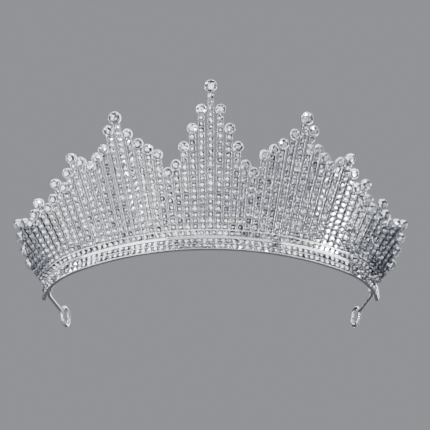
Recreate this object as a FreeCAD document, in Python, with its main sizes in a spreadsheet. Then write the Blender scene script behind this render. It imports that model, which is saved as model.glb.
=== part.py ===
"""Bridal tiara: a two-row crystal band, a leaning comb of crystal bars and two wire loops.

The band stands on z = 0 with its front towards -Y and its arms running back along +Y.
The origin is at the middle of the band's lower edge at the front, halfway through its wall.
The comb leans outwards from the band, so its bars lie on a cone and fan out as they rise.
Every bar ends in a round cup with a larger crystal, and the cups draw the spires.
"""
import FreeCAD
import Part
import math
import os
import Sketcher

doc = FreeCAD.newDocument("tiara")
Vector = FreeCAD.Vector

# ---------------------------------------------------------------- driving dimensions

sheet = doc.addObject("Spreadsheet::Sheet", "sizes")
next_row = 1


def size(alias, value, meaning):
    """Write one driving dimension, in millimetres or degrees, as a named cell."""
    global next_row
    sheet.set("A%d" % next_row, meaning)
    sheet.set("B%d" % next_row, str(value))
    sheet.setAlias("B%d" % next_row, alias)
    next_row += 1


def read(alias):
    """Give a named cell's number."""
    return float(sheet.get(alias))


size("front_radius", 92, "radius of the band's front arc, at mid wall")
size("front_angle", 36, "half angle of the front arc, degrees")
size("side_radius", 34.5, "radius of each side arc")
size("side_angle", 43.5, "angle of each side arc, degrees")
size("band_thickness", 1.3, "wall of the band")
size("row_wall", 0.2, "metal above, between and below the rows of stones")
size("seat_depth", 0.5, "depth of the channels that the stones sit in")
size("stone_play", 0.02, "clearance around a stone")
size("stone_foot", 0.5, "flat foot of a stone, as a share of its diameter")
size("stone_table", 0.56, "table of a stone, as a share of its diameter")
size("stone_girdle", 0.15, "height of a stone's girdle")
size("stone_crown", 0.17, "height of a stone's crown, as a share of its diameter")
size("band_stone", 2.15, "diameter of the band's stones")
size("band_stone_gap", 0.21, "gap between the band's stones")
size("seam_height", 0.7, "front height of the polished seam rail")
size("comb_lean", 40, "lean of the comb from upright, degrees")
size("rail_stone", 2.1, "diameter of the comb rail's stones")
size("rail_stone_gap", 0.3, "gap between the comb rail's stones")
size("comb_end_margin", 1.4, "band left over past the comb at each end")
size("bar_gap", 0.4, "gap between neighbouring bars, at mid wall of the band")
size("bar_wall", 0.18, "side wall of a bar beside its stones")
size("bar_inset", 0.25, "step back of a bar from each face of the comb rail")
size("bar_stone_gap", 0.3, "least gap between the stones along a bar")
size("solder_gap", 0.03, "joint line between soldered pieces")
size("cup_clearance", 0.04, "room between a cup and its neighbours")
size("cup_wall", 0.28, "wall of a tip cup")
size("cup_height", 2.2, "height of a tip cup along its own axis")
size("cup_floor", 0.6, "floor of a tip cup")
size("peak_cup_extra", 0.9, "how much wider the cups of the two tallest spires are")
size("wire_diameter", 1.3, "wire of the end loops")
size("leg_length", 9, "stretch of loop wire along the inside of the band")
size("bend_radius", 12, "bend of the loop wire behind the band")
size("loop_inward_angle", 17, "how far the strut turns in from straight back, degrees")
size("strut_length", 10.5, "straight stretch of loop wire")
size("neck_radius", 1.8, "bend from the strut into the eye")
size("eye_radius", 3.85, "radius of the eye, to the middle of its wire")
size("eye_gap", 0.05, "gap where the eye closes on its own neck")
size("clip_length", 1.5, "length of a clip along the wire")
size("clip_wall", 0.4, "metal of a clip around the wire")
size("clip_play", 0.05, "clearance of a clip around the wire")
size("clip_margin", 1.9, "first clip's distance from the end of the band")
size("clip_spacing", 4.4, "distance between the two clips")

# Each spire: the length of its peak bar, and how much lower each next bar's cup stands,
# on the side towards the middle of the tiara and on the side towards its end.
SPIRES = [
    ("centre", 55.0, [], [8.8, 16.0, 22.9, 29.7, 32.4]),
    ("second", 46.2, [6.9, 11.2, 13.9, 16.4], [4.3, 11.0, 13.5, 16.1]),
    ("third", 35.2, [2.5], [5.1, 10.0]),
    ("fourth", 27.8, [], [5.3, 7.8]),
    ("fifth", 23.5, [], [3.0, 5.0]),
    ("end", 22.1, [1.8], [4.3, 9.1, 13.7]),
]
PEAKED = ("centre", "second")

# One entry per bar of a half comb, from the middle outwards: spire, length formula, peak or not
bars = []
for spire, peak, inner_drops, outer_drops in SPIRES:
    size(spire + "_peak", peak, "length of the %s spire's peak bar" % spire)
    for step, drop in enumerate(inner_drops, 1):
        size("%s_inner_drop_%d" % (spire, step), drop, "%s spire, drop towards the middle" % spire)
    for step, drop in enumerate(outer_drops, 1):
        size("%s_outer_drop_%d" % (spire, step), drop, "%s spire, drop towards the end" % spire)
    top = "sizes.%s_peak" % spire
    for step in range(len(inner_drops), 0, -1):
        bars.append((spire, "%s - sizes.%s_inner_drop_%d" % (top, spire, step), False))
    bars.append((spire, top, spire in PEAKED))
    for step in range(1, len(outer_drops) + 1):
        bars.append((spire, "%s - sizes.%s_outer_drop_%d" % (top, spire, step), False))
doc.recompute()

# ---------------------------------------------------------------- sizes that follow

front_radius = read("front_radius")
side_radius = read("side_radius")
front_angle = math.radians(read("front_angle"))
side_angle = math.radians(read("side_angle"))
lean = math.radians(read("comb_lean"))
front_arc = front_radius * front_angle
half_arc = front_arc + side_radius * side_angle
comb_half_arc = half_arc - read("comb_end_margin")
bar_pitch = comb_half_arc / (len(bars) - 0.5)
bar_width = bar_pitch - read("bar_gap")
bar_stone = bar_width - 2 * read("bar_wall") - 2 * read("stone_play")
band_channel = read("band_stone") + 2 * read("stone_play")
band_height = 2 * band_channel + 3 * read("row_wall")
rail_channel = read("rail_stone") + 2 * read("stone_play")
rail_height = rail_channel + 2 * read("row_wall")
rail_thickness = read("band_thickness") / math.cos(lean)
bar_thickness = rail_thickness - 2 * read("bar_inset")
seam_middle = band_height + read("seam_height") + read("band_thickness") / 2 * math.tan(lean)
bar_base_height = seam_middle + rail_height * math.cos(lean) + read("solder_gap")
bar_base_offset = rail_height * math.sin(lean)


def bar_length(index):
    """Length of a bar, from its foot to the centre of its cup."""
    terms = bars[index][1].replace("sizes.", "").split(" - ")
    return read(terms[0]) - sum(read(term) for term in terms[1:])


def bar_spacing(index, length):
    """Distance between neighbouring bars, at a height along them."""
    on_front = (index + 0.5) * bar_pitch < front_arc
    radius = front_radius if on_front else side_radius
    return bar_pitch * (1 + (bar_base_offset + length * math.sin(lean)) / radius)


def widest_cup():
    """Largest cup that clears the neighbouring bars and cups everywhere along the comb."""
    room = []
    for index in range(len(bars) - 1):
        one = bar_length(index)
        other = bar_length(index + 1)
        beside = bar_spacing(index, min(one, other))
        between = bar_spacing(index, (one + other) / 2)
        extra = read("peak_cup_extra") / 2 * (bars[index][2] or bars[index + 1][2])
        room.append(2 * (beside - bar_width / 2 - read("cup_clearance")))
        room.append(math.hypot(between, one - other) - extra - read("cup_clearance"))
    return min(room)


cup_width = widest_cup()

# Follow-on sizes go into the sheet too, so that the features can be bound to them
for alias, value, meaning in (
    ("bar_width", bar_width, "width of a bar, from the comb's pitch and gap"),
    ("bar_thickness", bar_thickness, "thickness of a bar, from the comb rail"),
    ("bar_stone", bar_stone, "diameter of a bar's stones, from its width and walls"),
    ("cup_width", cup_width, "diameter of a tip cup, from the room between the bars"),
    ("peak_cup_width", cup_width + read("peak_cup_extra"), "diameter of a peak's cup"),
    ("band_height", band_height, "height of the band, from its rows of stones"),
    ("rail_height", rail_height, "height of the comb rail, from its row of stones"),
    ("rail_thickness", rail_thickness, "thickness of the comb rail, from the band's wall"),
):
    size(alias, value, meaning)
doc.recompute()

# ---------------------------------------------------------------- places along the band


def along_band(distance, offset=0.0):
    """Point at an arc length from the middle of the front, its tangent and its outward normal.

    The offset moves the point outwards from mid wall; distances to -X are negative.
    """
    side = -1.0 if distance < 0 else 1.0
    run = abs(distance)
    if run <= front_arc:
        angle = run / front_radius
        centre = Vector(0, front_radius, 0)
        radius = front_radius
    else:
        angle = front_angle + (run - front_arc) / side_radius
        shift = front_radius - side_radius
        centre = Vector(shift * math.sin(front_angle), front_radius - shift * math.cos(front_angle), 0)
        radius = side_radius
    outward = Vector(math.sin(angle), -math.cos(angle), 0)
    point = centre + outward * (radius + offset)
    tangent = Vector(math.cos(angle), math.sin(angle), 0)
    point = Vector(point.x * side, point.y, 0)
    outward = Vector(outward.x * side, outward.y, 0)
    tangent = Vector(tangent.x, tangent.y * side, 0)
    return point, tangent, outward


def leaning_placement(distance, tilt, rise, reach, lift, forward=0.0):
    """Placement on a surface that leans outwards by tilt from the band's mid wall.

    rise is the height of the surface's foot, lift the distance up the surface, and forward
    the distance in front of it. Local X runs along the band, local Z up the surface, and
    local -Y faces outwards. reach is the foot's own distance outwards from mid wall.
    """
    point, tangent, outward = along_band(distance)
    upwards = outward * math.sin(tilt) + Vector(0, 0, math.cos(tilt))
    inwards = outward * -math.cos(tilt) + Vector(0, 0, math.sin(tilt))
    foot = point + outward * reach + Vector(0, 0, rise)
    place = foot + upwards * lift - inwards * forward
    turn = FreeCAD.Rotation(tangent, inwards, upwards, "ZXY")
    return FreeCAD.Placement(place, turn)


def evenly_spaced(half_length, pitch):
    """Distances of a centred row of stones that fills twice half_length."""
    count = int((2 * half_length) / pitch)
    return [(index - (count - 1) / 2) * pitch for index in range(count)]


# ---------------------------------------------------------------- modelling helpers


def new_body(name):
    body = doc.addObject("PartDesign::Body", name)
    body.Label = name
    return body


def origin_plane(body, role):
    return [plane for plane in body.Origin.OriginFeatures if plane.Role == role][0]


def new_sketch(body, name, role):
    sketch = body.newObject("Sketcher::SketchObject", name)
    sketch.AttachmentSupport = [(origin_plane(body, role), "")]
    sketch.MapMode = "FlatFace"
    return sketch


def bind(sketch, kind, places, value, expression):
    """Add a dimension to a sketch and tie it to the sheet."""
    index = sketch.addConstraint(Sketcher.Constraint(kind, *places, value))
    sketch.setExpression("Constraints[%d]" % index, expression)


reader = doc.addObject("Part::Vertex", "formula_reader")


def worked_out(formula):
    """Number that a formula of the sheet's cells gives now."""
    reader.setExpression("X", formula)
    reader.recompute()
    return float(reader.X)


def hold(sketch, corner, kind, value, formula):
    """Hold a corner's distance from the origin along one axis to its formula."""
    if value == 0:
        axis = -2 if kind == "DistanceX" else -1
        sketch.addConstraint(Sketcher.Constraint("PointOnObject", corner, 1, axis))
    elif value > 0:
        bind(sketch, kind, (-1, 1, corner, 1), value, formula)
    else:
        bind(sketch, kind, (corner, 1, -1, 1), -value, "-(%s)" % formula)


def closed_outline(sketch, corners):
    """Draw a closed outline from corners given as pairs of formulas, and bind every corner."""
    count = len(corners)
    places = [(worked_out(x), worked_out(y)) for x, y in corners]
    for index in range(count):
        start = Vector(*places[index], 0)
        end = Vector(*places[(index + 1) % count], 0)
        sketch.addGeometry(Part.LineSegment(start, end))
    for index in range(count):
        sketch.addConstraint(Sketcher.Constraint("Coincident", index, 2, (index + 1) % count, 1))
    for index, (x_formula, y_formula) in enumerate(corners):
        hold(sketch, index, "DistanceX", places[index][0], x_formula)
        hold(sketch, index, "DistanceY", places[index][1], y_formula)


def swept_rail(name, corners, end_margin="0"):
    """Sweep an outline, drawn in the plane x = 0, along half the band, and mirror it."""
    body = new_body(name)
    path = new_sketch(body, name + "_path", "XY_Plane")
    shift = front_radius - side_radius
    turn = front_angle - math.pi / 2
    front_centre = Vector(0, front_radius, 0)
    side_centre = Vector(shift * math.sin(front_angle), front_radius - shift * math.cos(front_angle), 0)
    front_circle = Part.Circle(front_centre, Vector(0, 0, 1), front_radius)
    side_circle = Part.Circle(side_centre, Vector(0, 0, 1), side_radius)
    side_formula = "(sizes.side_angle - %s / sizes.side_radius * 180 / pi)" % end_margin
    side_turn = math.radians(worked_out(side_formula))
    path.addGeometry(Part.ArcOfCircle(front_circle, -math.pi / 2, turn))
    path.addGeometry(Part.ArcOfCircle(side_circle, turn, turn + side_turn))
    path.addConstraint(Sketcher.Constraint("Coincident", 0, 1, -1, 1))
    path.addConstraint(Sketcher.Constraint("PointOnObject", 0, 3, -2))
    path.addConstraint(Sketcher.Constraint("Tangent", 0, 2, 1, 1))
    bind(path, "Radius", (0,), front_radius, "sizes.front_radius")
    bind(path, "Radius", (1,), side_radius, "sizes.side_radius")
    bind(path, "Angle", (0,), front_angle, "sizes.front_angle * 1 deg")
    bind(path, "Angle", (1,), side_turn, side_formula + " * 1 deg")
    outline = new_sketch(body, name + "_outline", "YZ_Plane")
    closed_outline(outline, corners)
    doc.recompute()
    pipe = body.newObject("PartDesign::AdditivePipe", name + "_pipe")
    pipe.Profile = outline
    pipe.Spine = (path, ["Edge1", "Edge2"])
    doc.recompute()
    halves = body.newObject("PartDesign::Mirrored", name + "_halves")
    halves.Originals = [pipe]
    halves.MirrorPlane = (origin_plane(body, "YZ_Plane"), [""])
    body.Tip = halves
    doc.recompute()
    print(name, "volume", round(body.Shape.Volume, 1), "half", round(pipe.Shape.Volume, 1))
    return body


# ---------------------------------------------------------------- band and rails

half_wall = "sizes.band_thickness / 2"
channel_floor = "-sizes.band_thickness / 2 + sizes.seat_depth"
channel = "(sizes.band_stone + 2 * sizes.stone_play)"
lower_row = ("sizes.row_wall", "sizes.row_wall + " + channel)
upper_row = ("2 * sizes.row_wall + " + channel, "2 * sizes.row_wall + 2 * " + channel)
band = swept_rail("band_backing", [
    (half_wall, "0"),
    (half_wall, "sizes.band_height"),
    ("-" + half_wall, "sizes.band_height"),
    ("-" + half_wall, upper_row[1]),
    (channel_floor, upper_row[1]),
    (channel_floor, upper_row[0]),
    ("-" + half_wall, upper_row[0]),
    ("-" + half_wall, lower_row[1]),
    (channel_floor, lower_row[1]),
    (channel_floor, lower_row[0]),
    ("-" + half_wall, lower_row[0]),
    ("-" + half_wall, "0"),
])

# The seam rail is a wedge: its sloping top is the seat of the leaning comb rail
seat_front = "sizes.band_height + sizes.seam_height"
seat_back = seat_front + " + sizes.band_thickness * tan(sizes.comb_lean)"
seam_rail = swept_rail("seam_rail", [
    (half_wall, "sizes.band_height"),
    (half_wall, seat_back),
    ("-" + half_wall, seat_front),
    ("-" + half_wall, "sizes.band_height"),
])


def on_comb_rail(up, back):
    """Corner of the comb rail: distance up the lean and distance back from its front face."""
    y = "-sizes.band_thickness / 2 - (%s) * sin(sizes.comb_lean) + (%s) * cos(sizes.comb_lean)"
    z = seat_front + " + (%s) * cos(sizes.comb_lean) + (%s) * sin(sizes.comb_lean)"
    return y % (up, back), z % (up, back)


comb_rail = swept_rail("comb_rail", [
    on_comb_rail("0", "sizes.rail_thickness"),
    on_comb_rail("sizes.rail_height", "sizes.rail_thickness"),
    on_comb_rail("sizes.rail_height", "0"),
    on_comb_rail("sizes.rail_height - sizes.row_wall", "0"),
    on_comb_rail("sizes.rail_height - sizes.row_wall", "sizes.seat_depth"),
    on_comb_rail("sizes.row_wall", "sizes.seat_depth"),
    on_comb_rail("sizes.row_wall", "0"),
    on_comb_rail("0", "0"),
], "sizes.comb_end_margin")

# ---------------------------------------------------------------- stones and cups


def turned(name, corners):
    """Turn an outline, drawn in the plane z = 0, about the Y axis."""
    body = new_body(name)
    outline = new_sketch(body, name + "_outline", "XY_Plane")
    closed_outline(outline, corners)
    doc.recompute()
    solid = body.newObject("PartDesign::Revolution", name + "_turned")
    solid.Profile = outline
    solid.ReferenceAxis = (outline, ["V_Axis"])
    solid.Angle = 360
    doc.recompute()
    return body


def stone(name, diameter, seat, depth):
    """Flat-footed round stone that faces -Y: its foot is at y = seat, its girdle depth above it."""
    radius = "(%s) / 2" % diameter
    girdle_foot = "%s - %s + sizes.stone_girdle" % (seat, depth)
    girdle_top = "%s - %s" % (seat, depth)
    table = "%s - %s - (%s) * sizes.stone_crown" % (seat, depth, diameter)
    return turned(name, [
        ("0", seat),
        (radius + " * sizes.stone_foot", seat),
        (radius, girdle_foot),
        (radius, girdle_top),
        (radius + " * sizes.stone_table", table),
        ("0", table),
    ])


def cup(name, width):
    """Round cup, open towards -Y, centred on the middle of its bar's thickness."""
    bore = "%s / 2 - sizes.cup_wall" % width
    floor = "sizes.cup_height / 2 - sizes.cup_floor"
    return turned(name, [
        ("0", "sizes.cup_height / 2"),
        (width + " / 2", "sizes.cup_height / 2"),
        (width + " / 2", "-sizes.cup_height / 2"),
        (bore, "-sizes.cup_height / 2"),
        (bore, floor),
        ("0", floor),
    ])


def cup_stone(name, width):
    """Larger stone that fills a cup up to its rim."""
    diameter = "%s - 2 * sizes.cup_wall - 2 * sizes.stone_play" % width
    seat = "sizes.cup_height / 2 - sizes.cup_floor"
    return stone(name, diameter, seat, "(sizes.cup_height - sizes.cup_floor)")


band_stone = stone("band_stone_pattern", "sizes.band_stone", "0", "sizes.seat_depth")
rail_stone = stone("rail_stone_pattern", "sizes.rail_stone", "0", "sizes.seat_depth")
bar_stone_body = stone("bar_stone_pattern", "sizes.bar_stone", "0", "sizes.seat_depth")
cups = {False: cup("cup_pattern", "sizes.cup_width")}
cups[True] = cup("peak_cup_pattern", "sizes.peak_cup_width")
cup_stones = {False: cup_stone("cup_stone_pattern", "sizes.cup_width")}
cup_stones[True] = cup_stone("peak_cup_stone_pattern", "sizes.peak_cup_width")

# ---------------------------------------------------------------- bars


def on_bar(distance, lift, forward=0.0):
    """Placement at a distance up a bar's middle line and in front of it."""
    return leaning_placement(distance, lean, bar_base_height, bar_base_offset, lift, forward)


def bar_body(name, index, distance):
    """One bar: a channel section as long as its cup is high, with a saddle cut for the cup."""
    length = bars[index][1]
    width = "sizes.peak_cup_width" if bars[index][2] else "sizes.cup_width"
    side = "sizes.bar_width / 2"
    face = "sizes.bar_thickness / 2"
    body = new_body(name)
    section = new_sketch(body, name + "_section", "XY_Plane")
    closed_outline(section, [
        (side, face),
        (side, "-" + face),
        (side + " - sizes.bar_wall", "-" + face),
        (side + " - sizes.bar_wall", "-" + face + " + sizes.seat_depth"),
        ("-" + side + " + sizes.bar_wall", "-" + face + " + sizes.seat_depth"),
        ("-" + side + " + sizes.bar_wall", "-" + face),
        ("-" + side, "-" + face),
        ("-" + side, face),
    ])
    strip = body.newObject("PartDesign::Pad", name + "_strip")
    strip.Profile = section
    strip.setExpression("Length", length)
    saddle_outline = new_sketch(body, name + "_saddle_outline", "XZ_Plane")
    radius = worked_out(width) / 2 + read("solder_gap")
    ring = Part.Circle(Vector(0, bar_length(index), 0), Vector(0, 0, 1), radius)
    saddle_outline.addGeometry(ring)
    saddle_outline.addConstraint(Sketcher.Constraint("PointOnObject", 0, 3, -2))
    bind(saddle_outline, "DistanceY", (-1, 1, 0, 3), bar_length(index), length)
    bind(saddle_outline, "Radius", (0,), radius, width + " / 2 + sizes.solder_gap")
    doc.recompute([section, strip, saddle_outline])
    saddle = body.newObject("PartDesign::Pocket", name + "_saddle")
    saddle.Profile = saddle_outline
    saddle.Type = "ThroughAll"
    saddle.Midplane = True
    body.Tip = saddle
    body.Placement = on_bar(distance, 0)
    return body


# ---------------------------------------------------------------- assembly

nodes = [band, seam_rail, comb_rail]


def group_of_copies(name, pattern, placements):
    """One node of separate solids: the same pattern at many places on curved, leaning rows.

    A pattern feature repeats a shape along one line or about one axis, which a row that
    follows the band's three arcs isn't, so the copies are placed by Part's own functions.
    """
    copies = []
    for placement in placements:
        shape = pattern.Shape.copy()
        shape.Placement = placement
        copies.append(shape)
    group = doc.addObject("Part::Feature", name)
    group.Label = name
    group.Shape = Part.makeCompound(copies)
    nodes.append(group)
    return group


band_forward = read("band_thickness") / 2 - read("seat_depth")
rail_forward = rail_thickness / 2 - read("seat_depth")
bar_forward = bar_thickness / 2 - read("seat_depth")
rows = (
    ("band_stones_lower", read("row_wall") + band_channel / 2),
    ("band_stones_upper", 2 * read("row_wall") + band_channel * 1.5),
)
for name, rise in rows:
    row = evenly_spaced(half_arc, read("band_stone") + read("band_stone_gap"))
    places = [leaning_placement(run, 0, rise, 0, 0, band_forward) for run in row]
    group_of_copies(name, band_stone, places)

row = evenly_spaced(comb_half_arc, read("rail_stone") + read("rail_stone_gap"))
places = [leaning_placement(run, lean, seam_middle, 0, rail_height / 2, rail_forward) for run in row]
group_of_copies("comb_rail_stones", rail_stone, places)


def cup_radius(index):
    return (cup_width + read("peak_cup_extra") * bars[index][2]) / 2


def bar_stone_lifts(index):
    """Heights of a bar's stones, spread evenly from its foot to its cup."""
    room = bar_length(index) - cup_radius(index)
    count = int(room / (bar_stone + read("bar_stone_gap")))
    return [(step + 0.5) * room / count for step in range(count)]


def add_spire(name, indices):
    """Model the bars of one spire, their stones, their cups and the stones in the cups.

    An index counts bars from the middle of the tiara; it is negative towards -X.
    """
    strips = []
    stone_places = []
    cup_shapes = []
    cup_stone_shapes = []
    for number, index in enumerate(indices, 1):
        distance = index * bar_pitch
        rank = abs(index)
        strips.append(bar_body("%s_bar_%d" % (name, number), rank, distance))
        for lift in bar_stone_lifts(rank):
            stone_places.append(on_bar(distance, lift, bar_forward))
        for pattern, shapes in ((cups, cup_shapes), (cup_stones, cup_stone_shapes)):
            shape = pattern[bars[rank][2]].Shape.copy()
            shape.Placement = on_bar(distance, bar_length(rank))
            shapes.append(shape)
    doc.recompute()
    group = doc.addObject("Part::Compound", name + "_bars")
    group.Label = name + "_bars"
    group.Links = strips
    nodes.append(group)
    group_of_copies(name + "_bar_stones", bar_stone_body, stone_places)
    for suffix, shapes in (("_cups", cup_shapes), ("_cup_stones", cup_stone_shapes)):
        group = doc.addObject("Part::Feature", name + suffix)
        group.Label = name + suffix
        group.Shape = Part.makeCompound(shapes)
        nodes.append(group)


for spire in [entry[0] for entry in SPIRES]:
    ranks = [index for index, entry in enumerate(bars) if entry[0] == spire]
    if spire == "centre":
        add_spire("centre_spire", range(-ranks[-1], ranks[-1] + 1))
    else:
        add_spire(spire + "_spire_left", [-index for index in ranks])
        add_spire(spire + "_spire_right", ranks)

# ---------------------------------------------------------------- end loops

wire_radius = read("wire_diameter") / 2
wire_height = read("eye_radius") + wire_radius
inner_face = -read("band_thickness") / 2 - read("solder_gap")
wire_offset = inner_face - read("clip_wall") - read("clip_play") - wire_radius


def three_point_arc(points):
    return Part.Arc(*points).toShape()


def loop_path(side):
    """Middle line of a loop's wire: leg along the band, bend, strut, neck and round eye."""
    leg_start = half_arc - read("leg_length")
    stops = (leg_start, (leg_start + half_arc) / 2, half_arc)
    leg = [along_band(stop, wire_offset)[0] for stop in stops]
    leg = [Vector(point.x, point.y, wire_height) for point in leg]
    heading = front_angle + side_angle
    straight = math.pi / 2 + math.radians(read("loop_inward_angle"))
    bend_radius = read("bend_radius")
    bend_centre = leg[2] - Vector(math.sin(heading), -math.cos(heading), 0) * bend_radius
    turns = (heading, (heading + straight) / 2, straight)
    bend = [bend_centre + Vector(math.sin(turn), -math.cos(turn), 0) * bend_radius for turn in turns]
    ahead = Vector(math.cos(straight), math.sin(straight), 0)
    up = Vector(0, 0, 1)
    strut_end = bend[2] + ahead * read("strut_length")
    neck_radius = read("neck_radius")
    eye_radius = read("eye_radius")
    reach = math.sqrt(eye_radius ** 2 + 2 * eye_radius * neck_radius)
    neck_centre = strut_end - up * neck_radius
    eye_centre = strut_end + ahead * reach
    meeting = math.atan2(neck_radius, reach)

    def on_circle(centre, radius, angle):
        return centre + ahead * radius * math.cos(angle) + up * radius * math.sin(angle)

    # The ring stops where its wire would meet the neck, found from the triangle between them
    apart = neck_radius + read("wire_diameter") + read("eye_gap")
    across = eye_radius + neck_radius
    opening = math.acos((eye_radius ** 2 + across ** 2 - apart ** 2) / (2 * eye_radius * across))
    eye_start = math.pi + meeting
    eye_end = eye_start + 2 * math.pi - opening
    neck_angles = (math.pi / 2, (math.pi / 2 + meeting) / 2, meeting)
    neck = [on_circle(neck_centre, neck_radius, angle) for angle in neck_angles]
    quarter = (eye_end - eye_start) / 4
    ring = [on_circle(eye_centre, eye_radius, eye_start + quarter * step) for step in range(5)]
    runs = [leg, bend, [bend[2], strut_end], neck, ring[:3], ring[2:]]
    edges = []
    for run in runs:
        mirrored = [Vector(point.x * side, point.y, point.z) for point in run]
        if len(run) == 2:
            edges.append(Part.LineSegment(*mirrored).toShape())
        else:
            edges.append(three_point_arc(mirrored))
    return Part.Wire(edges)


def add_loop(name, side):
    """Sweep the wire's round section along its middle line."""
    path = doc.addObject("Part::Feature", name + "_path")
    path.Shape = loop_path(side)
    section = doc.addObject("Part::Circle", name + "_section")
    section.setExpression("Radius", "sizes.wire_diameter / 2")
    first_edge = path.Shape.Edges[0]
    start = first_edge.valueAt(first_edge.FirstParameter)
    along = first_edge.tangentAt(first_edge.FirstParameter)
    section.Placement = FreeCAD.Placement(start, FreeCAD.Rotation(Vector(0, 0, 1), along))
    loop = doc.addObject("Part::Sweep", name)
    loop.Label = name
    loop.Sections = [section]
    loop.Spine = (path, ["Edge%d" % (number + 1) for number in range(len(path.Shape.Edges))])
    loop.Solid = True
    loop.Frenet = False
    doc.recompute()
    expected = math.pi * wire_radius ** 2 * path.Shape.Length
    print(name, "volume", round(loop.Shape.Volume, 2), "expected", round(expected, 2))
    nodes.append(loop)


clip = new_body("clip_pattern")
clip_outline = new_sketch(clip, "clip_outline", "YZ_Plane")
hole_middle = "(sizes.clip_wall + sizes.clip_play + sizes.wire_diameter / 2)"
half_clip = "(sizes.wire_diameter / 2 + sizes.clip_play + sizes.clip_wall)"
closed_outline(clip_outline, [
    ("0", "-" + half_clip),
    (hole_middle + " + " + half_clip, "-" + half_clip),
    (hole_middle + " + " + half_clip, half_clip),
    ("0", half_clip),
])
hole = Part.Circle(Vector(worked_out(hole_middle), 0, 0), Vector(0, 0, 1), wire_radius + read("clip_play"))
hole_index = clip_outline.addGeometry(hole)
clip_outline.addConstraint(Sketcher.Constraint("PointOnObject", hole_index, 3, -1))
bind(clip_outline, "DistanceX", (-1, 1, hole_index, 3), worked_out(hole_middle), hole_middle)
bind(clip_outline, "Radius", (hole_index,), hole.Radius, "sizes.wire_diameter / 2 + sizes.clip_play")
clip_block = clip.newObject("PartDesign::Pad", "clip_block")
clip_block.Profile = clip_outline
clip_block.Midplane = True
clip_block.setExpression("Length", "sizes.clip_length")
doc.recompute()


def outer_long_edges(shape):
    """Edges that run along X on the side away from the band."""
    close = 1e-4
    whole = shape.BoundBox
    names = []
    for number, edge in enumerate(shape.Edges, 1):
        box = edge.BoundBox
        is_long = abs(box.XLength - whole.XLength) < close
        is_outer = abs(box.YMin - whole.YMax) < close
        if is_long and is_outer:
            names.append("Edge%d" % number)
    return names


rounding = clip.newObject("PartDesign::Fillet", "clip_rounding")
rounding.Base = (clip_block, outer_long_edges(clip_block.Shape))
rounding.setExpression("Radius", "sizes.clip_wall")
clip.Tip = rounding
doc.recompute()

for name, side in (("left", -1), ("right", 1)):
    add_loop(name + "_loop", side)
    stops = [half_arc - read("clip_margin"), half_arc - read("clip_margin") - read("clip_spacing")]
    places = [leaning_placement(side * stop, 0, wire_height, inner_face, 0) for stop in stops]
    group_of_copies(name + "_loop_clips", clip, places)

# ---------------------------------------------------------------- checks and export

doc.recompute()
failed = [item.Name for item in doc.Objects if "Invalid" in item.State or "Error" in item.State]
if failed:
    raise RuntimeError("features that failed: %s" % ", ".join(failed))
os.makedirs("parts", exist_ok=True)
for node in nodes:
    shape = node.Shape
    if shape.isNull() or not shape.isValid() or not shape.Solids:
        raise RuntimeError("no valid solid in " + node.Label)
    shape.exportStep("parts/%s.step" % node.Label)
print("nodes", len(nodes), "solids", sum(len(node.Shape.Solids) for node in nodes))
print("bars", 2 * len(bars) - 1, "pitch", round(bar_pitch, 3))
print("cup width", round(cup_width, 3), "bar stone", round(bar_stone, 3))
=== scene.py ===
# %% [markdown]
# A bridal tiara in crystal and rhodium-plated metal.
# The real one is soldered together from stock parts: a band with two rows of set stones, a
# comb of claw chain cut to length, a round cup on top of every length, and two bent wires.
# The design already holds every size, so this lesson starts by loading it as a fixed frame.
# Everything made here reads its place from that frame, and nothing in the frame is moved.

# %% Load the frame
import math

import bmesh
import bpy
import numpy as np
from mathutils import Matrix, Vector


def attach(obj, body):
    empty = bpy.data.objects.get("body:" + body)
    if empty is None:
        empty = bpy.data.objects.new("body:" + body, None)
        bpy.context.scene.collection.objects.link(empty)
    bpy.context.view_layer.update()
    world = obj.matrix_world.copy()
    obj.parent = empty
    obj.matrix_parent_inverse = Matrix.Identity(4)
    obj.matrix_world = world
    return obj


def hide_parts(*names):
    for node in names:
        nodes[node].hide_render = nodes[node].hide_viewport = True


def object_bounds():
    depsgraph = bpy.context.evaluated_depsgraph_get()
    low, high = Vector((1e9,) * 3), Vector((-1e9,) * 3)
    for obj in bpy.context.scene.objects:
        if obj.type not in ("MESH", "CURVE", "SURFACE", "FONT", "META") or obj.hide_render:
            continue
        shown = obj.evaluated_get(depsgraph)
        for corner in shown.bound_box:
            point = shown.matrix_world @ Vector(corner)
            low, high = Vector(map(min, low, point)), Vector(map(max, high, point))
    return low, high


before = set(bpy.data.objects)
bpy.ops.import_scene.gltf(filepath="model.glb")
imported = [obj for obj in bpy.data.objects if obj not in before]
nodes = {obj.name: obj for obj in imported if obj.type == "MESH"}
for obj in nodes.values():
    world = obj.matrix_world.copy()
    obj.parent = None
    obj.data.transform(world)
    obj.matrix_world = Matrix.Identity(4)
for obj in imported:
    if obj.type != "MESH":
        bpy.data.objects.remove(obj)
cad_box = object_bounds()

mm = 0.001
bpy.ops.object.select_all(action="DESELECT")
print("nodes", len(nodes), "box", [[round(value, 4) for value in corner] for corner in cad_box])

# %% [markdown]
# The camera looks at the front of the band from below, as at a tiara that lies tipped back.
# A long lens flattens the view, so the far ends of the band stay as large as its front.

# %% Camera
camera_aim = Vector((1.8, 34.5, 38.6)) * mm
camera_place = Vector((0, -466, -292)) * mm
camera_data = bpy.data.cameras.new("camera")
camera_data.lens = 120
camera = bpy.data.objects.new("camera", camera_data)
camera.location = camera_place
camera.rotation_euler = (camera_aim - camera_place).to_track_quat("-Z", "Y").to_euler()
bpy.context.scene.collection.objects.link(camera)
bpy.context.scene.camera = camera
print("camera", [round(value, 3) for value in camera_place])

# %% [markdown]
# The floor is a plain pale sheet. It lies well below the camera, so that it hides nothing
# when the camera looks up from under the tiara, and it is wide enough to reach the horizon.

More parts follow.
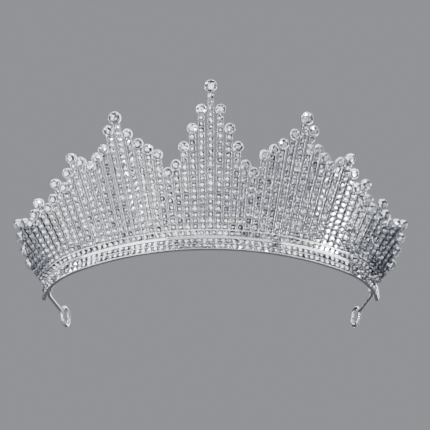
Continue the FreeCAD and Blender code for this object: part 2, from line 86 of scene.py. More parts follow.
# %% Floor
floor_drop = 0.9
floor_size = 60
floor_height = camera_place.z - floor_drop
bpy.ops.mesh.primitive_plane_add(size=floor_size, location=(0, 0, floor_height))
floor = bpy.context.object
floor.name = "floor"
print("floor height", round(floor_height, 3))

# %% [markdown]
# Crystal and polished metal have no colour of their own: they show the room.
# In an evenly white room they look like plaster, so the room here is a dark grey, with a few
# large soft lamps. The lamps give the white flashes, and the grey between them the depth.
# The camera can't see the lamps themselves, so none of them shows up beside the tiara.

# %% Soft lamps
middle = (cad_box[0] + cad_box[1]) / 2


def lamp(name, place, side, power):
    """Hang a square soft lamp that faces the middle of the tiara; place is in metres from it."""
    data = bpy.data.lights.new(name, "AREA")
    data.size = side
    data.energy = power
    light = bpy.data.objects.new(name, data)
    light.location = middle + Vector(place)
    light.visible_camera = False
    light.rotation_euler = (-Vector(place)).to_track_quat("-Z", "Y").to_euler()
    bpy.context.scene.collection.objects.link(light)


lamp("key_lamp", (-0.85, -0.75, 0.65), 1.0, 16)
lamp("front_lamp", (0.1, -1.0, 0.6), 1.0, 4)
lamp("low_lamp", (-0.25, -0.75, -0.75), 0.8, 5)
lamp("right_lamp", (0.95, -0.55, 0.6), 0.8, 7)
lamp("left_lamp", (-0.95, -0.15, -0.5), 0.9, 10)
lamp("back_lamp", (0.3, 0.9, 0.6), 0.8, 12)
lamp("top_lamp", (0, 0.1, 1.0), 0.8, 9)
print("soft lamps", len(bpy.data.lights))

# %% [markdown]
# A jeweller adds a few small bare lamps, because only a small bright source makes a facet
# spark. They hang around the front and the sides, low and high, so that every stretch of the
# comb has some stones that catch one.

# %% Spark lamps
spark_side = 0.12
spark_power = 5
spark_places = (
    (-0.45, -0.8, -0.25),
    (0.5, -0.75, -0.35),
    (0.15, -0.95, 0.15),
    (0.75, -0.3, -0.6),
    (-0.7, 0.1, 0.5),
)
for number, place in enumerate(spark_places, 1):
    lamp("spark_lamp_%d" % number, place, spark_side, spark_power)
print("spark lamps", len(spark_places))

# %% [markdown]
# A material is a small tree of nodes. A few helpers are enough for all of them: one turns a
# colour picked on screen into the linear numbers that Blender mixes light in, one adds a node
# together with its settings and the wires that lead into it, and one starts a new material.

# %% Colours and nodes


def colour(code):
    """Linear colour of an sRGB hex value."""
    channels = [int(code[place:place + 2], 16) / 255 for place in (0, 2, 4)]
    linear = [c / 12.92 if c <= 0.04045 else ((c + 0.055) / 1.055) ** 2.4 for c in channels]
    return (*linear, 1)


def add(tree, kind, settings=None, links=None):
    """Add a node, set its values, and wire other nodes' outputs to its inputs."""
    node = tree.nodes.new("ShaderNode" + kind)
    for key, value in (settings or {}).items():
        if isinstance(key, int) or key in node.inputs:
            node.inputs[key].default_value = value
        else:
            setattr(node, key, value)
    for key, source in (links or {}).items():
        tree.links.new(source, node.inputs[key])
    return node


def new_material(name):
    """Empty node material, its tree and its surface shader."""
    material = bpy.data.materials.new(name)
    material.use_nodes = True
    tree = material.node_tree
    return material, tree, tree.nodes["Principled BSDF"]


print("a screen grey of 50 percent is", round(colour("808080")[0], 3), "of full light")

# %% [markdown]
# Two more helpers lay colour on a surface. A ramp turns a number, such as a noise, into a
# colour. The other paints shade into recesses: it darkens the colour where other metal or stone
# crowds close, as if shade fell there. This painted shade is what draws the joints between small parts.

# %% Ramps and painted recess shade
# the near-black that shade is painted in, in recesses
recess_shade_tone = "1B1C21"
recess_shade_samples = 6


def ramp(tree, factor, stops, interpolation="LINEAR"):
    """Colour ramp: stops are (position, hex colour)."""
    node = add(tree, "ValToRGB", {}, {"Fac": factor})
    node.color_ramp.interpolation = interpolation
    elements = node.color_ramp.elements
    while len(elements) < len(stops):
        elements.new(0.5)
    for element, (position, code) in zip(elements, stops):
        element.position = position
        element.color = colour(code)
    return node.outputs["Color"]


def paint_recess_shade(tree, shade, reach):
    """Paint shade: darken a colour in corners that other metal or stone crowds within reach, in metres."""
    crowding = add(tree, "AmbientOcclusion", {"samples": recess_shade_samples, "Distance": reach})
    # painted shade: the more a corner is crowded, the nearer its colour goes to that near-black
    painted_shade = ramp(tree, crowding.outputs["AO"], [(0.25, recess_shade_tone), (0.9, "FFFFFF")])
    darkened = add(tree, "VectorMath", {"operation": "MULTIPLY"}, {0: shade, 1: painted_shade})
    return darkened.outputs["Vector"]


print("recesses darken to", round(colour(recess_shade_tone)[0], 3), "of the open colour")

# %% [markdown]
# The camera sees a plain backdrop, and the metal sees a much darker room. Without that split,
# a backdrop bright enough to look clean would fill every facet with the same grey.
# The floor is split in the same way: to the camera it is an evenly lit pale sheet, and to the
# metal it is pale matt paint that only the lamps light.

# %% Backdrop, room and floor paint
paper = "D6D9DF"
backdrop_glow = 0.45
room_glow = 0.09
floor_glow = 1.3

world = bpy.data.worlds.new("studio")
bpy.context.scene.world = world
world.use_nodes = True
tree = world.node_tree
seen = add(tree, "LightPath").outputs["Is Camera Ray"]
backdrop = add(tree, "Background", {"Color": colour(paper), "Strength": backdrop_glow})
room = add(tree, "Background", {"Color": colour("D6DAE6"), "Strength": room_glow})
both = add(tree, "MixShader", {}, {0: seen, 1: room.outputs[0], 2: backdrop.outputs[0]})
tree.links.new(both.outputs[0], tree.nodes["World Output"].inputs["Surface"])

paint, tree, shader = new_material("matt_floor_paint")
position = add(tree, "TexCoord").outputs["Object"]
brush = add(tree, "TexNoise", {"Scale": 3, "Detail": 2}, {"Vector": position})
brushed = ramp(tree, brush.outputs["Fac"], [(0, "D8D9DC"), (1, "E2E3E6")])
tree.links.new(brushed, shader.inputs["Base Color"])
shader.inputs["Roughness"].default_value = 0.9
seen = add(tree, "LightPath").outputs["Is Camera Ray"]
lit = add(tree, "Emission", {"Color": colour(paper), "Strength": floor_glow})
both = add(tree, "MixShader", {}, {0: seen, 1: shader.outputs[0], 2: lit.outputs[0]})
tree.links.new(both.outputs[0], tree.nodes["Material Output"].inputs["Surface"])
floor.data.materials.append(paint)
print("the metal's room has", round(room_glow / backdrop_glow, 2), "of the backdrop's light")

# %% [markdown]
# The crystals are machine-cut glass with a foiled back. Light goes in, meets the foil behind
# the facets and comes out of a few of them, so on each stone some facets flash white while
# their neighbours stay grey or nearly black, with a trace of blue.
# Real refraction in nearly a thousand small stones is slow and grainy, so the flash is painted.
# A mirror foil under a clear coat carries it: each facet has a number, called flash, that paints
# how much of the room its piece of foil sends back, from nearly black through blue-grey to white,
# as painted shade and painted highlights. The foil is a little soft, and the glass over it is as sharp and
# clear as a window.

# %% Foiled crystal
foil_strength = 0.75
foil_roughness = 0.06
glass_roughness = 0.02
glass_ior = 1.52


def crystal(name, darkest, tint):
    """Foiled crystal: a mirror whose painted flash changes from facet to facet, under clear glass."""
    material, tree, shader = new_material(name)
    flash = add(tree, "Attribute", {"attribute_name": "flash"}).outputs["Fac"]
    # painted highlights and shade: each facet's flash picks its foil's colour, from near black to white
    shade = ramp(tree, flash, [
        (0.0, darkest),
        (0.34, "484C58"),
        (0.46, tint),
        (0.6, "CDD0DA"),
        (0.7, "FFFFFF"),
        (0.97, "EFE9DF"),
    ], "CONSTANT")
    # painted shade where the stone meets its claws and neighbours
    tree.links.new(paint_recess_shade(tree, shade, 0.3 * mm), shader.inputs["Base Color"])
    shader.inputs["Metallic"].default_value = foil_strength
    shader.inputs["Roughness"].default_value = foil_roughness
    shader.inputs["Coat Weight"].default_value = 1
    shader.inputs["Coat Roughness"].default_value = glass_roughness
    shader.inputs["Coat IOR"].default_value = glass_ior
    return material


small_crystal = crystal("foiled_small_crystal", "16181F", "9094A6")
large_crystal = crystal("foiled_large_crystal", "14161D", "8A92AE")
print("crystals", small_crystal.name, large_crystal.name)

# %% [markdown]
# All the metal is brass or zinc alloy under a bright rhodium plate, which is whiter than
# steel and a little cool. Only the way that each part was made sets them apart: cast claws
# keep a faint orange-peel, the tumbled band is a little softer, the seam rail is buffed to a
# mirror, and the cups are bright. So one function makes them all from a finish's roughness
# and grain. The grain is drawn coarser than the real one, which is too fine to see.
# A broad cloud in the tone keeps large parts from looking like one flat grey.

# %% Rhodium plate
cloud_size = 12 * mm
# the dark grey that shade is painted in on masked faces
painted_shade_tone = "34363E"


def rhodium(name, pale, dark, roughness, grain, depth, shade_mask=None):
    """Rhodium plate: grain is the size of its texture and depth its height, in metres.

    The last argument makes a mask, from 0 to 1, of the faces where shade is painted in a dull dark grey.
    """
    material, tree, shader = new_material(name)
    position = add(tree, "TexCoord").outputs["Object"]
    texture = add(tree, "TexNoise", {"Scale": 1 / grain, "Detail": 3}, {"Vector": position})
    cloud = add(tree, "TexNoise", {"Scale": 1 / cloud_size, "Detail": 2}, {"Vector": position})
    plate = ramp(tree, cloud.outputs["Fac"], [(0.3, dark), (0.7, pale)])
    # painted shade in the plate's recesses
    plate = paint_recess_shade(tree, plate, 0.7 * mm)
    if shade_mask:
        # painted shade: masked faces are mixed towards that dark grey
        settings = {"data_type": "RGBA", 7: colour(painted_shade_tone)}
        plate = add(tree, "Mix", settings, {0: shade_mask(tree), 6: plate}).outputs[2]
    tree.links.new(plate, shader.inputs["Base Color"])
    spread = add(tree, "MapRange", {"To Min": roughness * 0.7, "To Max": roughness * 1.4},
                 {"Value": texture.outputs["Fac"]})
    tree.links.new(spread.outputs["Result"], shader.inputs["Roughness"])
    bump = add(tree, "Bump", {"Strength": 0.6, "Distance": depth}, {"Height": texture.outputs["Fac"]})
    tree.links.new(bump.outputs["Normal"], shader.inputs["Normal"])
    shader.inputs["Metallic"].default_value = 1
    return material


mirror_rhodium = rhodium("buffed_rhodium", "F2F2F5", "E2E3E8", 0.08, 1.5 * mm, 0.01 * mm)
cup_rhodium = rhodium("bright_cup_rhodium", "F0F0F4", "D8DAE0", 0.12, 0.4 * mm, 0.01 * mm)
clip_rhodium = rhodium("pressed_clip_rhodium", "E4E5EA", "D0D2D9", 0.16, 0.8 * mm, 0.01 * mm)
print("rhodium finishes", mirror_rhodium.name, cup_rhodium.name, clip_rhodium.name)

# %% [markdown]
# Two finishes have shade painted on some faces. The sides of the claw chain face the next
# chain closely, so shade is painted on them, and they show as dark lines between the bars.
# The underside of the band is painted darker than the front, as the shade under it.

# %% Rhodium with painted shade on some faces
# how strongly shade is painted on the band's underside
underside_shade_strength = 0.45


def flank_shade_mask(tree):
    """Mask of the sides of the chain, where shade is painted, from the number that its faces carry."""
    return add(tree, "Attribute", {"attribute_name": "flank"}).outputs["Fac"]


def underside_shade_mask(tree):
    """Mask of the faces that look straight down, where shade is painted."""
    normal = add(tree, "TexCoord").outputs["Normal"]
    rise = add(tree, "SeparateXYZ", {}, {0: normal}).outputs["Z"]
    down = add(tree, "Math", {"operation": "LESS_THAN", 1: -0.9}, {0: rise}).outputs["Value"]
    shaded = add(tree, "Math", {"operation": "MULTIPLY", 1: underside_shade_strength}, {0: down})
    return shaded.outputs["Value"]


# the chain's sides get painted shade
cast_rhodium = rhodium("cast_rhodium", "E2E4E9", "C4C7CF", 0.2, 0.35 * mm, 0.02 * mm, flank_shade_mask)
# the band's underside gets painted shade
band_rhodium = rhodium("tumbled_rhodium", "E6E7EC", "CCCED6", 0.24, 0.5 * mm, 0.03 * mm, underside_shade_mask)
print("rhodium finishes", cast_rhodium.name, band_rhodium.name)

# %% [markdown]
# The loops are drawn wire. Drawing leaves fine lines along the wire, so its noise is squeezed
# across the wire and stretched along the way that most of it runs, which is front to back.
# The lines give the wire a silky streak in place of a sharp reflection.

# %% Drawn wire
line_width = 0.15 * mm
line_length = 4 * mm
line_depth = 0.015 * mm
wire_rhodium, tree, shader = new_material("drawn_wire_rhodium")
position = add(tree, "TexCoord").outputs["Object"]
line_scale = (1 / line_width, 1 / line_length, 1 / line_width)
lengthwise = add(tree, "Mapping", {"Scale": line_scale}, {"Vector": position})
lines = add(tree, "TexNoise", {"Scale": 1, "Detail": 2}, {"Vector": lengthwise.outputs["Vector"]})
streaks = ramp(tree, lines.outputs["Fac"], [(0.3, "A9ABB3"), (0.7, "CFD1D8")])
tree.links.new(streaks, shader.inputs["Base Color"])
bump = add(tree, "Bump", {"Strength": 0.5, "Distance": line_depth}, {"Height": lines.outputs["Fac"]})
tree.links.new(bump.outputs["Normal"], shader.inputs["Normal"])
shader.inputs["Metallic"].default_value = 1
shader.inputs["Roughness"].default_value = 0.2
print("materials", len(bpy.data.materials))

# %% [markdown]
# The frame holds each row of stones as one node of many loose solids. The first thing needed
# is each solid by itself. Every corner gets a label, and the lowest label spreads along the
# edges until nothing changes, so that each solid ends up with a label of its own.

# %% Take a node apart
weld_digits = 7


def loose_solids(name):
    """Corner points of each loose solid in a node, found by spreading labels along its edges."""
    mesh = nodes[name].data
    points = np.empty(len(mesh.vertices) * 3)
    mesh.vertices.foreach_get("co", points)
    points = points.reshape(-1, 3).round(weld_digits)
    edges = np.empty(len(mesh.edges) * 2, int)
    mesh.edges.foreach_get("vertices", edges)
    corners, same = np.unique(points, axis=0, return_inverse=True)
    ends = same.ravel()[edges].reshape(-1, 2)
    labels = np.arange(len(corners))
    while True:
        lowest = labels[ends].min(axis=1)
        spread = labels.copy()
        np.minimum.at(spread, ends[:, 0], lowest)
        np.minimum.at(spread, ends[:, 1], lowest)
        spread = spread[spread]
        if (spread == labels).all():
            break
        labels = spread
    return [corners[labels == label] for label in np.unique(labels)]


print("stones in the band's lower row", len(loose_solids("band_stones_lower")))

# %% [markdown]
# To put a modelled stone in the place of a plain one, its seat is needed: where its foot
# stands and which way it faces. A stone is flatter than it is wide, so the way in which its
# points spread least is its axis. Up is then whatever part of straight up is square to that.
# The sizes of the plain stone are read in the same way, by looking at it from its seat.

# %% Read seats and sizes from the frame
head_centre = Vector((0, 60, 0)) * mm
slack = 0.01


def seat(points):
    """Matrix of a round solid: origin in the middle of its foot, Z the way it faces, Y up."""
    centre = points.mean(axis=0)
    facing = Vector(np.linalg.svd(points - centre)[2][2])
    outwards = Vector(centre) - head_centre
    if facing.dot(Vector((outwards.x, outwards.y, 0))) < 0:
        facing.negate()
    foot = Vector(centre) + facing * ((points - centre) @ np.array(facing)).min()
    up = (Vector((0, 0, 1)) - facing * facing.z).normalized()
    across = up.cross(facing)
    turn = Matrix((across, up, facing)).transposed().to_4x4()
    return Matrix.Translation(foot) @ turn


def seats_of(node):
    """Seats of all the round solids in a node."""
    return [seat(points) for points in loose_solids(node)]


def inside(place, points):
    """Points as seen from a seat."""
    matrix = np.array(place.inverted())
    return points @ matrix[:3, :3].T + matrix[:3, 3]


def stone_sizes(points):
    """Radius, foot radius, girdle heights, table radius and table height of a round solid."""
    local = inside(seat(points), points)
    radii = np.hypot(local[:, 0], local[:, 1])
    widest = radii.max()
    girdle = local[radii > (1 - slack) * widest, 2]
    table = local[:, 2].max()
    on_table = radii[local[:, 2] > (1 - slack) * table].max()
    on_foot = radii[local[:, 2] < slack * table].max()
    return widest, on_foot, girdle.min(), girdle.max(), on_table, table


band_stone_sizes = stone_sizes(loose_solids("band_stones_lower")[0])
print("band stone, mm:", [round(value / mm, 2) for value in band_stone_sizes])

# %% [markdown]
# Modelling by hand is mostly three moves: open a piece, pick some faces, push them about.
# Faces are picked by a test on their middle and their normal. The two tests used most are
# for the faces that look up and the faces that look down.

# %% Pick and push faces
straight = 0.9


def open_piece():
    """Open the newest primitive in edit mode."""
    bpy.ops.object.mode_set(mode="EDIT")
    bpy.ops.mesh.select_mode(type="FACE")


def pick(test):
    """Select the faces of the open piece whose middle and normal pass a test."""
    edited = bmesh.from_edit_mesh(bpy.context.object.data)
    for face in edited.faces:
        face.select_set(bool(test(face.calc_center_median(), face.normal)))
    edited.select_flush_mode()
    bmesh.update_edit_mesh(bpy.context.object.data)


def faces_up(middle, normal):
    """Test for the faces that look up."""
    return normal.z > straight


def faces_down(middle, normal):
    """Test for the faces that look down."""
    return normal.z < -straight


def step(rise, scale=1.0, turn=0.0):
    """Extrude the picked faces along Z, then scale and turn them about the Z axis."""
    bpy.ops.mesh.extrude_region_move(TRANSFORM_OT_translate={"value": (0, 0, rise)})
    bpy.ops.transform.resize(value=(scale, scale, 1), center_override=(0, 0, 0))
    if turn:
        bpy.ops.transform.rotate(value=turn, orient_axis="Z", center_override=(0, 0, 0))


print("a face counts as straight within", round(math.degrees(math.acos(straight))), "degrees")

# %% [markdown]
# A piece is closed with its normals outwards and its place put into its mesh, so that it can
# be copied to a seat by moving only its points. Copies of one shape are joined into one
# piece, which then gets its material and is told which body it rides on, and the frame's
# parts that it stands for are hidden.

# %% Close, copy and hand over


def close_piece(name, smooth_angle=None):
    """Leave edit mode, put the object's place into its mesh, and name it."""
    bpy.ops.mesh.select_all(action="SELECT")
    bpy.ops.mesh.normals_make_consistent(inside=False)
    bpy.ops.object.mode_set(mode="OBJECT")
    piece = bpy.context.object
    piece.name = name
    bpy.ops.object.transform_apply(location=True, rotation=True, scale=True)
    if smooth_angle:
        bpy.ops.object.shade_smooth_by_angle(angle=math.radians(smooth_angle))
    bpy.ops.object.select_all(action="DESELECT")
    return piece


def merge(*pieces):
    """Join pieces into the first one."""
    for piece in pieces:
        piece.select_set(True)
    bpy.context.view_layer.objects.active = pieces[0]
    if len(pieces) > 1:
        bpy.ops.object.join()
    bpy.ops.object.select_all(action="DESELECT")
    return pieces[0]


def copies(shape, places, name):
    """Copy a shape to every place and join the copies into one piece."""
    made = []
    for place in places:
        copy = shape.copy()
        copy.data = shape.data.copy()
        copy.data.transform(place)
        bpy.context.scene.collection.objects.link(copy)
        made.append(copy)
    piece = merge(*made)
    piece.name = name
    piece.data.name = name
    return piece


def mark_faces(piece, name, values):
    """Write one number on each face of a piece, for its material to read."""
    marks = piece.data.attributes.new(name, "FLOAT", "FACE")
    marks.data.foreach_set("value", np.array(values, np.float32))


def read_marks(piece, name):
    """Read back the numbers that mark_faces wrote."""
    marks = np.empty(len(piece.data.polygons), np.float32)
    piece.data.attributes[name].data.foreach_get("value", marks)
    return marks


def hand_over(piece, material, slot, *stands_for):
    """Give a finished piece its material and its body, and hide the nodes it stands for. The slot is not
    used.
    """
    piece.data.materials.clear()
    piece.data.materials.append(material)
    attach(piece, "root")
    if stands_for:
        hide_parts(*stands_for)
    print(piece.name, "faces", len(piece.data.polygons))


# %% [markdown]
# A cut crystal is a stack of rings: a flat table, a crown of triangles, a thin girdle and a
# pavilion below it. Each ring is turned half a side from the one under it, so that splitting
# the twisted faces between them gives the triangles of a brilliant cut.
# It starts as a drum of the girdle's height, and its two ends are extruded ring by ring.
# Under a clear table the eye sees the foiled facets below it, so the table is divided into a
# star and lifted a hair in the middle, which gives each part its own flash.
# The modelling tools leave the facets in no fixed order, so they are numbered at the end,
# ring by ring. The start of the count lies between two facets, so that none sits on it.

# %% Cut a crystal
small_sides = 8
table_dome = 0.02 * mm
upright = 0.02
count_start = 0.1


def number_facets(piece):
    """Number the facets ring by ring, and around each ring from the start of the count."""

    def ring_and_angle(face):
        angle = math.atan2(face.center.y, face.center.x) + count_start
        return round(face.center.z / mm, 3), angle % (2 * math.pi)

    facets = piece.data.polygons
    order = sorted(range(len(facets)), key=lambda index: ring_and_angle(facets[index]))
    mark_faces(piece, "facet", np.argsort(order))


def cut_crystal(name, sizes, sides, crown_rings):
    """Brilliant-cut crystal with its foot at z = 0 and its table up."""
    radius, foot, low, high, table, top = sizes
    half_turn = math.pi / sides
    crown_rise = (top - table_dome - high) / crown_rings
    shrink = (table / radius) ** (1 / crown_rings)
    bpy.ops.mesh.primitive_cylinder_add(
        vertices=sides, radius=radius, depth=high - low, location=(0, 0, (high + low) / 2))
    open_piece()
    pick(faces_up)
    for ring in range(crown_rings):
        step(crown_rise, shrink, half_turn)
    if crown_rings > 1:
        step(table_dome / 2, 0.5, half_turn)
    bpy.ops.mesh.poke(offset=table_dome / 2)
    pick(faces_down)
    step(-low, foot / radius, half_turn)
    pick(lambda middle, normal: abs(normal.z) > upright)
    bpy.ops.mesh.quads_convert_to_tris(quad_method="SHORTEST_DIAGONAL", ngon_method="BEAUTY")
    piece = close_piece(name)
    mark_faces(piece, "tilt", [face.normal.z for face in piece.data.polygons])
    number_facets(piece)
    print(name, "facets", len(piece.data.polygons))
    return piece


band_crystal = cut_crystal("band_crystal", band_stone_sizes, small_sides, 1)
rail_stone_sizes = stone_sizes(loose_solids("comb_rail_stones")[0])
rail_crystal = cut_crystal("rail_crystal", rail_stone_sizes, small_sides, 1)

# %% [markdown]
# In a row of real stones no two flash alike, because each sits a little askew. So every
# facet draws a random painted flash, two neighbours at a time, and every stone adds a little
# of its own. The table's facets are painted brighter, as facets that look straight at the room,
# and the crown's are painted duller, as facets that look past it.
# Gleam paints the flash of a whole row a little brighter, as painted highlights.

# %% Set rows of stones
randomness = np.random.default_rng(7)
table_tilt = 0.97
stone_variety = 0.1


def paint_flash(piece, values):
    """Write the painted flash of each facet: painted bright and dark on the table, duller on the crown."""
    tilts = read_marks(piece, "tilt")
    numbers = read_marks(piece, "facet").astype(int)
    facets = numbers.max() + 1
    stone_starts = np.arange(len(values)) // facets * facets
    values = values[stone_starts + numbers]
    # painted light: facets of the table are lifted and those of the crown are dimmed
    values = np.where(tilts > table_tilt, 0.3 + 0.7 * values, 0.8 * values)
    mark_faces(piece, "flash", values.clip(0, 1))


def set_stones(shape, node, name, painted_gleam=0.0):
    """Set a crystal in every seat of a node, and give each facet its flash."""
    seats = seats_of(node)
    piece = copies(shape, seats, name)
    facets = len(shape.data.polygons)
    own = np.repeat(randomness.normal(0, stone_variety, len(seats)), facets)
    each = np.repeat(randomness.random(facets * len(seats) // 2 + 1), 2)[:len(own)]
    paint_flash(piece, each + own + painted_gleam)
    hand_over(piece, small_crystal, "pave_crystal", node)


# the last number is a painted highlight added to each row's flash
set_stones(band_crystal, "band_stones_lower", "lower_band_crystals", 0.2)
set_stones(band_crystal, "band_stones_upper", "upper_band_crystals", 0.15)
set_stones(rail_crystal, "comb_rail_stones", "comb_rail_crystals", 0.1)

# %% [markdown]
# Between neighbouring stones the setter raises small grains of metal with a cutter and rounds
# them over the stones' edges. A grain is a low ball, so it starts as a coarse sphere, its
# underside is cut away by bisect, and it is pressed flatter.

# %% Raise a grain
grain_radius = 0.3 * mm
grain_press = 0.9
bpy.ops.mesh.primitive_uv_sphere_add(segments=8, ring_count=6, radius=grain_radius)
open_piece()
bpy.ops.mesh.select_all(action="SELECT")
bpy.ops.mesh.bisect(plane_co=(0, 0, -grain_radius / 3), plane_no=(0, 0, 1), use_fill=True, clear_inner=True)
bpy.ops.mesh.select_all(action="SELECT")
bpy.ops.transform.resize(value=(1, 1, grain_press), center_override=(0, 0, 0))
grain = close_piece("grain", 60)
print("grain faces", len(grain.data.polygons))

# %% [markdown]
# The grains go halfway between neighbouring stones, so the seats are first put in order
# along the band. The lower row has grains along both its sides, and the ones between the two
# rows serve both, so the upper row needs only its outer line.

# %% Set the grains
edge_inset = 0.2 * mm


def in_order(seats):
    """Seats sorted along the band, from its left end to its right end."""
    return sorted(seats, key=lambda place: math.atan2(
        place.translation.x, head_centre.y - place.translation.y))


def between(seats):
    """Seats halfway between neighbours in a row."""
    ordered = in_order(seats)
    halfway = []
    for one, other in zip(ordered, ordered[1:]):
        halfway.append(one.lerp(other, 0.5))
    return halfway


def grains(seats, rises, name):
    """Rows of grains between the stones at the height of their girdle, at each rise."""
    girdle_height = band_stone_sizes[3]
    places = []
    for place in between(seats):
        for rise in rises:
            places.append(place @ Matrix.Translation((0, rise, girdle_height)))
    hand_over(copies(grain, places, name), cast_rhodium, "band_metal")


lower_seats = seats_of("band_stones_lower")
upper_seats = seats_of("band_stones_upper")
row_spacing = (in_order(upper_seats)[0].translation - in_order(lower_seats)[0].translation).length
outer_rise = row_spacing / 2 - edge_inset
grains(lower_seats, (-outer_rise, row_spacing / 2), "lower_band_grains")
grains(upper_seats, (outer_rise,), "upper_band_grains")
grains(seats_of("comb_rail_stones"), (-outer_rise, outer_rise), "comb_rail_grains")
print("rows apart, mm:", round(row_spacing / mm, 2))

# %% [markdown]
# A claw holds the stone down. It is a short cone that stands on the metal, and its top is
# extruded once more, in over the stone's edge, and narrowed to a rounded tip.

# %% Bend a claw


def claw(place, low, high, radius, reach):
    """A claw that stands at a place and bends in towards the Z axis by its reach."""
    rise = high - low
    bpy.ops.mesh.primitive_cone_add(
        vertices=6, radius1=radius, radius2=radius * 0.85, depth=rise * 0.6,
        location=(place.x, place.y, low + rise * 0.3))
    open_piece()
    pick(faces_up)
    inwards = -place.normalized() * reach
    bpy.ops.mesh.extrude_region_move(
        TRANSFORM_OT_translate={"value": (inwards.x, inwards.y, rise * 0.4)})
    tip = place + inwards
    bpy.ops.transform.resize(value=(0.6, 0.6, 1), center_override=(tip.x, tip.y, high))
    return close_piece("claw", 70)


def round_edges(piece, name, width, segments):
    """Bevel the sharp edges of a piece with a modifier, apply it, and shade it smooth."""
    sharp = math.radians(50)
    bevel = piece.modifiers.new(name, "BEVEL")
    bevel.width = width
    bevel.segments = segments
    bevel.angle_limit = sharp
    bpy.context.view_layer.objects.active = piece
    piece.select_set(True)
    bpy.ops.object.modifier_apply(modifier=bevel.name)
    bpy.ops.object.shade_smooth_by_angle(angle=sharp)
    bpy.ops.object.select_all(action="DESELECT")


# %% [markdown]
# The bars are claw chain: square cups joined in a line, each with a round stone held by four
# claws. One cup is modelled from a cube. Its corners are bevelled, its front face is inset
# and sunk to make the well, and one end is drawn out into the bridge to the next cup. A claw
# at each corner leans in over the stone.

# %% Model one link of claw chain
link_wall = 0.18 * mm
link_joint = 0.16 * mm
link_corner = 0.35 * mm
link_claw_radius = 0.24 * mm


def pick_edges(test):
    """Select the edges of the open piece whose direction passes a test."""
    bpy.ops.mesh.select_mode(type="EDGE")
    edited = bmesh.from_edit_mesh(bpy.context.object.data)
    for edge in edited.edges:
        along = (edge.verts[1].co - edge.verts[0].co).normalized()
        edge.select_set(bool(test(along)))
    bmesh.update_edit_mesh(bpy.context.object.data)


def chain_link(width, length, back, front):
    """One square cup of claw chain round the origin, its well's floor at z = 0."""
    bpy.ops.mesh.primitive_cube_add(size=1, location=(0, 0, (front + back) / 2))
    cup = bpy.context.object
    cup.scale = (width, length - link_joint, front - back)
    bpy.ops.object.transform_apply(location=True, rotation=False, scale=True)
    open_piece()
    pick_edges(lambda along: abs(along.z) > straight)
    bpy.ops.mesh.bevel(offset=link_corner, segments=2)
    bpy.ops.mesh.select_mode(type="FACE")
    pick(faces_up)
    bpy.ops.mesh.inset(thickness=link_wall)
    bpy.ops.mesh.extrude_region_move(TRANSFORM_OT_translate={"value": (0, 0, -front)})
    pick(lambda middle, normal: normal.y > straight and middle.y > length / 4)
    bpy.ops.mesh.inset(thickness=width / 4)
    bpy.ops.mesh.extrude_region_move(TRANSFORM_OT_translate={"value": (0, link_joint * 2, 0)})
    cup = close_piece("chain_link")
    round_edges(cup, "soft_edges", 0.07 * mm, 1)
    claw_x = width / 2 - 0.2 * mm
    claw_y = length / 2 - 0.24 * mm
    claws = []
    for side_x in (-1, 1):
        for side_y in (-1, 1):
            corner = Vector((side_x * claw_x, side_y * claw_y, 0))
            claws.append(claw(corner, front - 0.15 * mm, front + 0.32 * mm, link_claw_radius, 0.16 * mm))
    link = merge(cup, *claws)
    # the sides of the chain, which get painted shade
    mark_faces(link, "flank", [abs(face.normal.x) > 0.7 for face in link.data.polygons])
    return link


# %% [markdown]
# The frame gives every bar as one strip with its stones. A bar's stones are the ones that lie
# near its middle line, and the strip's box, seen from the lowest stone, gives the width and
# the depth of the chain. The spacing of the stones gives the length of a link.

# %% Measure the bars
spires = ["centre_spire"]
for rank in ("second", "third", "fourth", "fifth", "end"):
    spires += [rank + "_spire_left", rank + "_spire_right"]
half_bar = 1.2 * mm


def bars_of(spire):
    """For each bar of a spire: its stones' seats from foot to tip, and its box seen from them."""
    seats = seats_of(spire + "_bar_stones")
    found = []
    for points in loose_solids(spire + "_bars"):
        centre = Vector((points.min(axis=0) + points.max(axis=0)) / 2)
        own = [place for place in seats if abs((place.inverted() @ centre).x) < half_bar]
        own.sort(key=lambda place: place.translation.z)
        local = inside(own[0], points)
        found.append((own, local.min(axis=0), local.max(axis=0)))
    return found


def spacing_of(stones):
    """Distance between the first two stones of a bar."""
    return (stones[1].translation - stones[0].translation).length


stones, lowest, highest = bars_of("centre_spire")[0]
link_length = spacing_of(stones)
link_width = highest[0] - lowest[0]
link = chain_link(link_width, link_length, lowest[2], highest[2])
print("link, mm:", round(link_width / mm, 2), "by", round(link_length / mm, 2))
print("link faces", len(link.data.polygons))

# %% [markdown]
# A tip is a round cup soldered on top of its bar. It starts as a drum that narrows to its
# foot, and its front is inset and sunk, which leaves a wall around the stone. A bevel rolls
# the wall's rim, as the setter does to close it over the stone, and four small claws follow.

# %% Model the tip cups
cup_sides = 20
cup_claws = 4
cup_taper = 0.8
rim_roll = 0.12 * mm


def tip_cup(name, points):
    """Round cup with its foot at z = 0, from the corner points of the plain one."""
    local = inside(seat(points), points)
    radii = np.hypot(local[:, 0], local[:, 1])
    heights = local[:, 2]
    radius = radii.max()
    height = heights.max()
    wall = radius - radii[heights > (1 - slack) * height].min()
    well_floor = heights[(heights > slack * height) & (heights < 0.9 * height)].max()
    bpy.ops.mesh.primitive_cone_add(
        vertices=cup_sides, radius1=radius * cup_taper, radius2=radius, depth=height / 2,
        location=(0, 0, height / 4))
    open_piece()
    pick(faces_up)
    step(height / 2)
    pick(faces_up)
    bpy.ops.mesh.inset(thickness=wall)
    step(well_floor - height)
    cup = close_piece(name)
    round_edges(cup, "rolled_rim", rim_roll, 2)
    claws = []
    for number in range(cup_claws):
        angle = 2 * math.pi * (number + 0.5) / cup_claws
        place = Vector((math.cos(angle), math.sin(angle), 0)) * (radius - wall)
        claws.append(claw(place, height - 0.2 * mm, height + 0.22 * mm, 0.22 * mm, 0.25 * mm))
    return merge(cup, *claws)


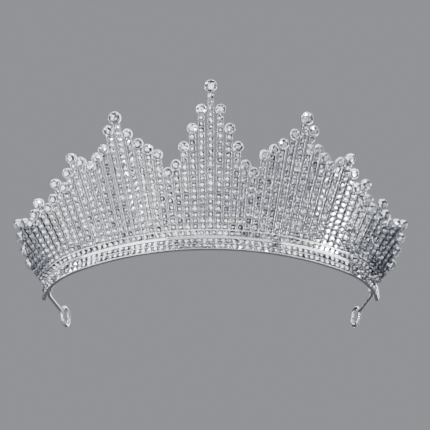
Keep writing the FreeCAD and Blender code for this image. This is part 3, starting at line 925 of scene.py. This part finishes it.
plain_cup_points = loose_solids("third_spire_right_cups")[0]
plain_cup_radius = stone_sizes(plain_cup_points)[0]
centre_cups = loose_solids("centre_spire_cups")
peak_cup_points = max(centre_cups, key=lambda points: stone_sizes(points)[0])
plain_cup = tip_cup("plain_cup", plain_cup_points)
peak_cup = tip_cup("peak_cup", peak_cup_points)
print("cup radius, mm:", round(plain_cup_radius / mm, 2))

# %% [markdown]
# The crystals in the tips are large enough to show their cut, so they have more sides than
# the small ones and a second ring of facets in the crown. The bars' crystals are small again.

# %% Cut the crystals of the tips and the bars
tip_sides = 10
plain_tip_sizes = stone_sizes(loose_solids("third_spire_right_cup_stones")[0])
centre_tips = loose_solids("centre_spire_cup_stones")
peak_tip_sizes = max((stone_sizes(points) for points in centre_tips), key=lambda sizes: sizes[0])
bar_stone_sizes = stone_sizes(loose_solids("third_spire_right_bar_stones")[0])
plain_tip = cut_crystal("plain_tip_crystal", plain_tip_sizes, tip_sides, 2)
peak_tip = cut_crystal("peak_tip_crystal", peak_tip_sizes, tip_sides, 2)
bar_crystal = cut_crystal("bar_crystal", bar_stone_sizes, small_sides, 1)

# %% [markdown]
# Now each spire is put together: its chains, the stones in them, its cups and their stones.
# The peaks' cups and stones are larger than the others, so each solid picks the shape whose
# size it has. Every spire keeps its parts as separate pieces, as they lie on the bench.

# %% Put the spires together


def sized_copies(node, plain, peak, plain_radius, name):
    """Copies of the plain or the peak shape in a node's places, by each solid's size."""
    small = []
    large = []
    for points in loose_solids(node):
        if stone_sizes(points)[0] < plain_radius * 1.05:
            small.append(seat(points))
        else:
            large.append(seat(points))
    piece = copies(plain, small, name)
    if large:
        piece = merge(piece, copies(peak, large, name + "_peak"))
    return piece


def build_spire(spire):
    """Chains, crystals, tip cups and tip crystals of one spire."""
    link_places = []
    for stones, lowest, highest in bars_of(spire):
        stretch = Matrix.Diagonal((1, spacing_of(stones) / link_length, 1, 1))
        link_places += [place @ stretch for place in stones]
    chains = copies(link, link_places, spire + "_claw_chains")
    hand_over(chains, cast_rhodium, "bar_metal", spire + "_bars")
    set_stones(bar_crystal, spire + "_bar_stones", spire + "_chain_crystals")
    cups = sized_copies(spire + "_cups", plain_cup, peak_cup, plain_cup_radius, spire + "_tip_cups")
    hand_over(cups, cup_rhodium, "cup_metal", spire + "_cups")
    tips = sized_copies(
        spire + "_cup_stones", plain_tip, peak_tip, plain_tip_sizes[0], spire + "_tip_crystals")
    paint_flash(tips, randomness.random(len(tips.data.polygons)))
    hand_over(tips, large_crystal, "tip_crystal", spire + "_cup_stones")


for spire in spires:
    build_spire(spire)

# %% [markdown]
# The shapes that were only patterns are taken away, and the frame's own parts that keep
# their shape get their metal: the band, its two rails, the wire loops and the clips.

# %% Finish the frame's own parts
patterns = (band_crystal, rail_crystal, bar_crystal, plain_tip, peak_tip, grain, link, plain_cup, peak_cup)
for pattern in patterns:
    bpy.data.objects.remove(pattern)

finishes = {
    "band_backing": band_rhodium,
    "comb_rail": band_rhodium,
    "seam_rail": mirror_rhodium,
    "left_loop": wire_rhodium,
    "right_loop": wire_rhodium,
    "left_loop_clips": clip_rhodium,
    "right_loop_clips": clip_rhodium,
}
for name, material in finishes.items():
    nodes[name].data.materials.clear()
    nodes[name].data.materials.append(material)
print("parts that keep their shape", len(finishes))
